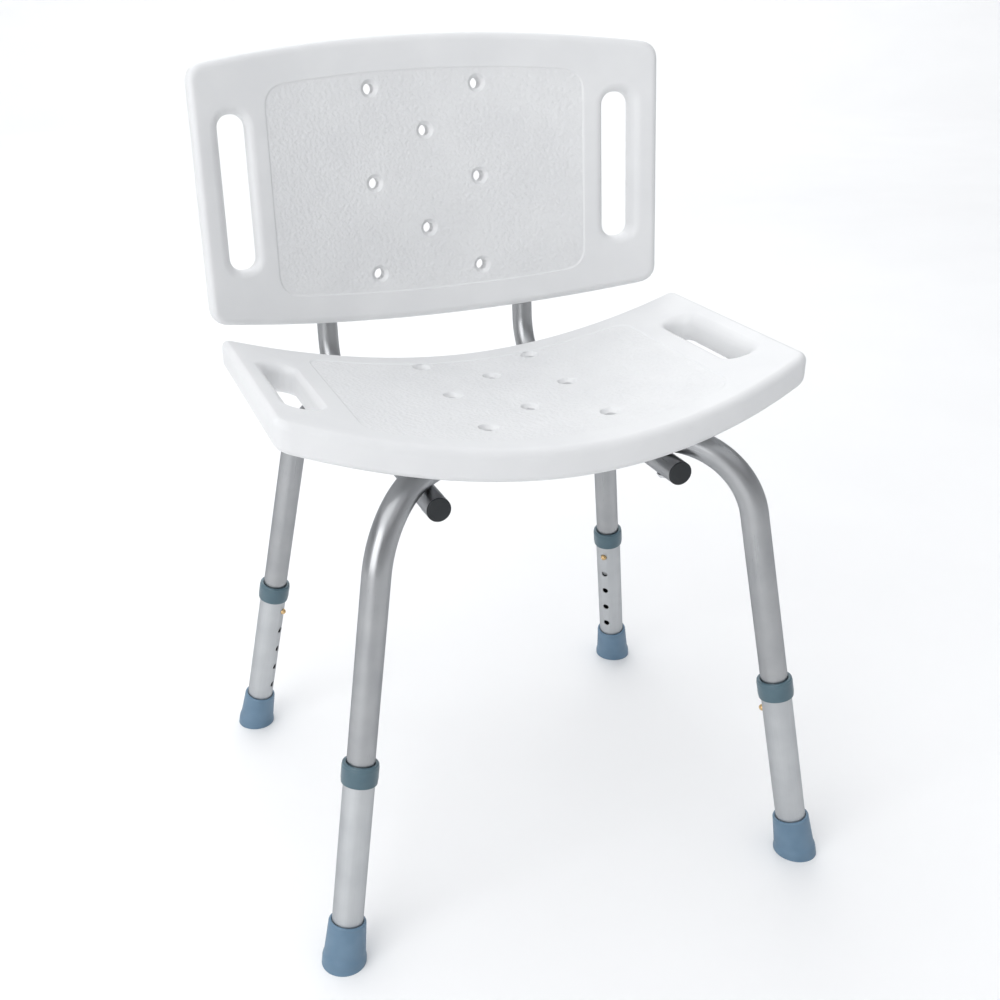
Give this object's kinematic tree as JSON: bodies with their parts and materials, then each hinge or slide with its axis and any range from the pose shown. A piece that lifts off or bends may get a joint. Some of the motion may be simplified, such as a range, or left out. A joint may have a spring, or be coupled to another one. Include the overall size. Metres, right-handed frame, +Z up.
{
  "type": "shower chair",
  "caption": "Shower chair with a curved moulded seat and back, hand slots and drain holes, on a bent aluminium tube frame with splayed, push-button height-adjustable legs.",
  "frame": {"origin": "middle of the footprint on the floor", "axes": "+X to the left hand of a sitter facing -Y, -Y the way the sitter faces, +Z up"},
  "size_m": [0.5136, 0.5058, 0.7571],
  "materials": {
    "panel": "satin white blow-moulded polyethylene with a fine grain in the recess",
    "leg_tube": "satin bright anodised",
    "back_tube": "satin anodised",
    "sleeve_tube": "matt anodised",
    "collar": "moulded slate blue plastic",
    "foot": "moulded blue-grey rubber",
    "plug": "charcoal plastic",
    "button": "polished",
    "spring": "spring steel strip",
    "fastener": "zinc plated",
    "insert": "as turned"
  },
  "bodies": {
    "frame": {"seat_panel": "panel", "back_panel": "panel", "leg_bow_upper": "leg_tube", "leg_bow_lower": "leg_tube", "back_tube_left": "back_tube", "front_plug_left": "plug", "top_plug_left": "plug", "back_tube_right": "back_tube", "front_plug_right": "plug", "top_plug_right": "plug", "spring_clip_fl": "spring", "spring_clip_fr": "spring", "spring_clip_rl": "spring", "spring_clip_rr": "spring", "frame_bolt_fl": "fastener", "bolt_washer_fl": "fastener", "seat_insert_fl": "insert", "frame_bolt_fr": "fastener", "bolt_washer_fr": "fastener", "seat_insert_fr": "insert", "frame_bolt_rl": "fastener", "bolt_washer_rl": "fastener", "seat_insert_rl": "insert", "frame_bolt_rr": "fastener", "bolt_washer_rr": "fastener", "seat_insert_rr": "insert", "frame_bolt_centre": "fastener", "bolt_washer_centre": "fastener", "seat_insert_centre": "insert", "back_screw_lower_left": "fastener", "back_insert_lower_left": "insert", "back_screw_upper_left": "fastener", "back_insert_upper_left": "insert", "back_screw_lower_right": "fastener", "back_insert_lower_right": "insert", "back_screw_upper_right": "fastener", "back_insert_upper_right": "insert"},
    "leg_fl": {"lower_leg_fl": "sleeve_tube", "leg_collar_fl": "collar", "foot_fl": "foot"},
    "leg_fr": {"lower_leg_fr": "sleeve_tube", "leg_collar_fr": "collar", "foot_fr": "foot"},
    "leg_rl": {"lower_leg_rl": "sleeve_tube", "leg_collar_rl": "collar", "foot_rl": "foot"},
    "leg_rr": {"lower_leg_rr": "sleeve_tube", "leg_collar_rr": "collar", "foot_rr": "foot"},
    "button_fl": {"snap_button_fl": "button"},
    "button_fr": {"snap_button_fr": "button"},
    "button_rl": {"snap_button_rl": "button"},
    "button_rr": {"snap_button_rr": "button"}
  },
  "joints": [
    {"name": "leg_slide_fl", "type": "slide", "parent": "frame", "child": "leg_fl", "axis": [0.1537, 0.133, 0.9791], "range_m": [0, 0.104], "deforming": ["snap_button_fl"]},
    {"name": "leg_slide_fr", "type": "slide", "parent": "frame", "child": "leg_fr", "axis": [-0.1537, 0.133, 0.9791], "range_m": [0, 0.104], "deforming": ["snap_button_fr"]},
    {"name": "leg_slide_rl", "type": "slide", "parent": "frame", "child": "leg_rl", "axis": [0.1537, -0.133, 0.9791], "range_m": [0, 0.104], "deforming": ["snap_button_rl"]},
    {"name": "leg_slide_rr", "type": "slide", "parent": "frame", "child": "leg_rr", "axis": [-0.1537, -0.133, 0.9791], "range_m": [0, 0.104], "deforming": ["snap_button_rr"]},
    {"name": "button_press_fl", "type": "slide", "parent": "frame", "child": "button_fl", "axis": [-0.7404, -0.6406, 0.2033], "range_m": [0, 0.005], "stiffness_N_per_m": 1500, "springref_m": -0.002, "deforming": ["spring_clip_fl"]},
    {"name": "button_press_fr", "type": "slide", "parent": "frame", "child": "button_fr", "axis": [0.7404, -0.6406, 0.2033], "range_m": [0, 0.005], "stiffness_N_per_m": 1500, "springref_m": -0.002, "deforming": ["spring_clip_fr"]},
    {"name": "button_press_rl", "type": "slide", "parent": "frame", "child": "button_rl", "axis": [-0.7404, 0.6406, 0.2033], "range_m": [0, 0.005], "stiffness_N_per_m": 1500, "springref_m": -0.002, "deforming": ["spring_clip_rl"]},
    {"name": "button_press_rr", "type": "slide", "parent": "frame", "child": "button_rr", "axis": [0.7404, 0.6406, 0.2033], "range_m": [0, 0.005], "stiffness_N_per_m": 1500, "springref_m": -0.002, "deforming": ["spring_clip_rr"]}
  ]
}
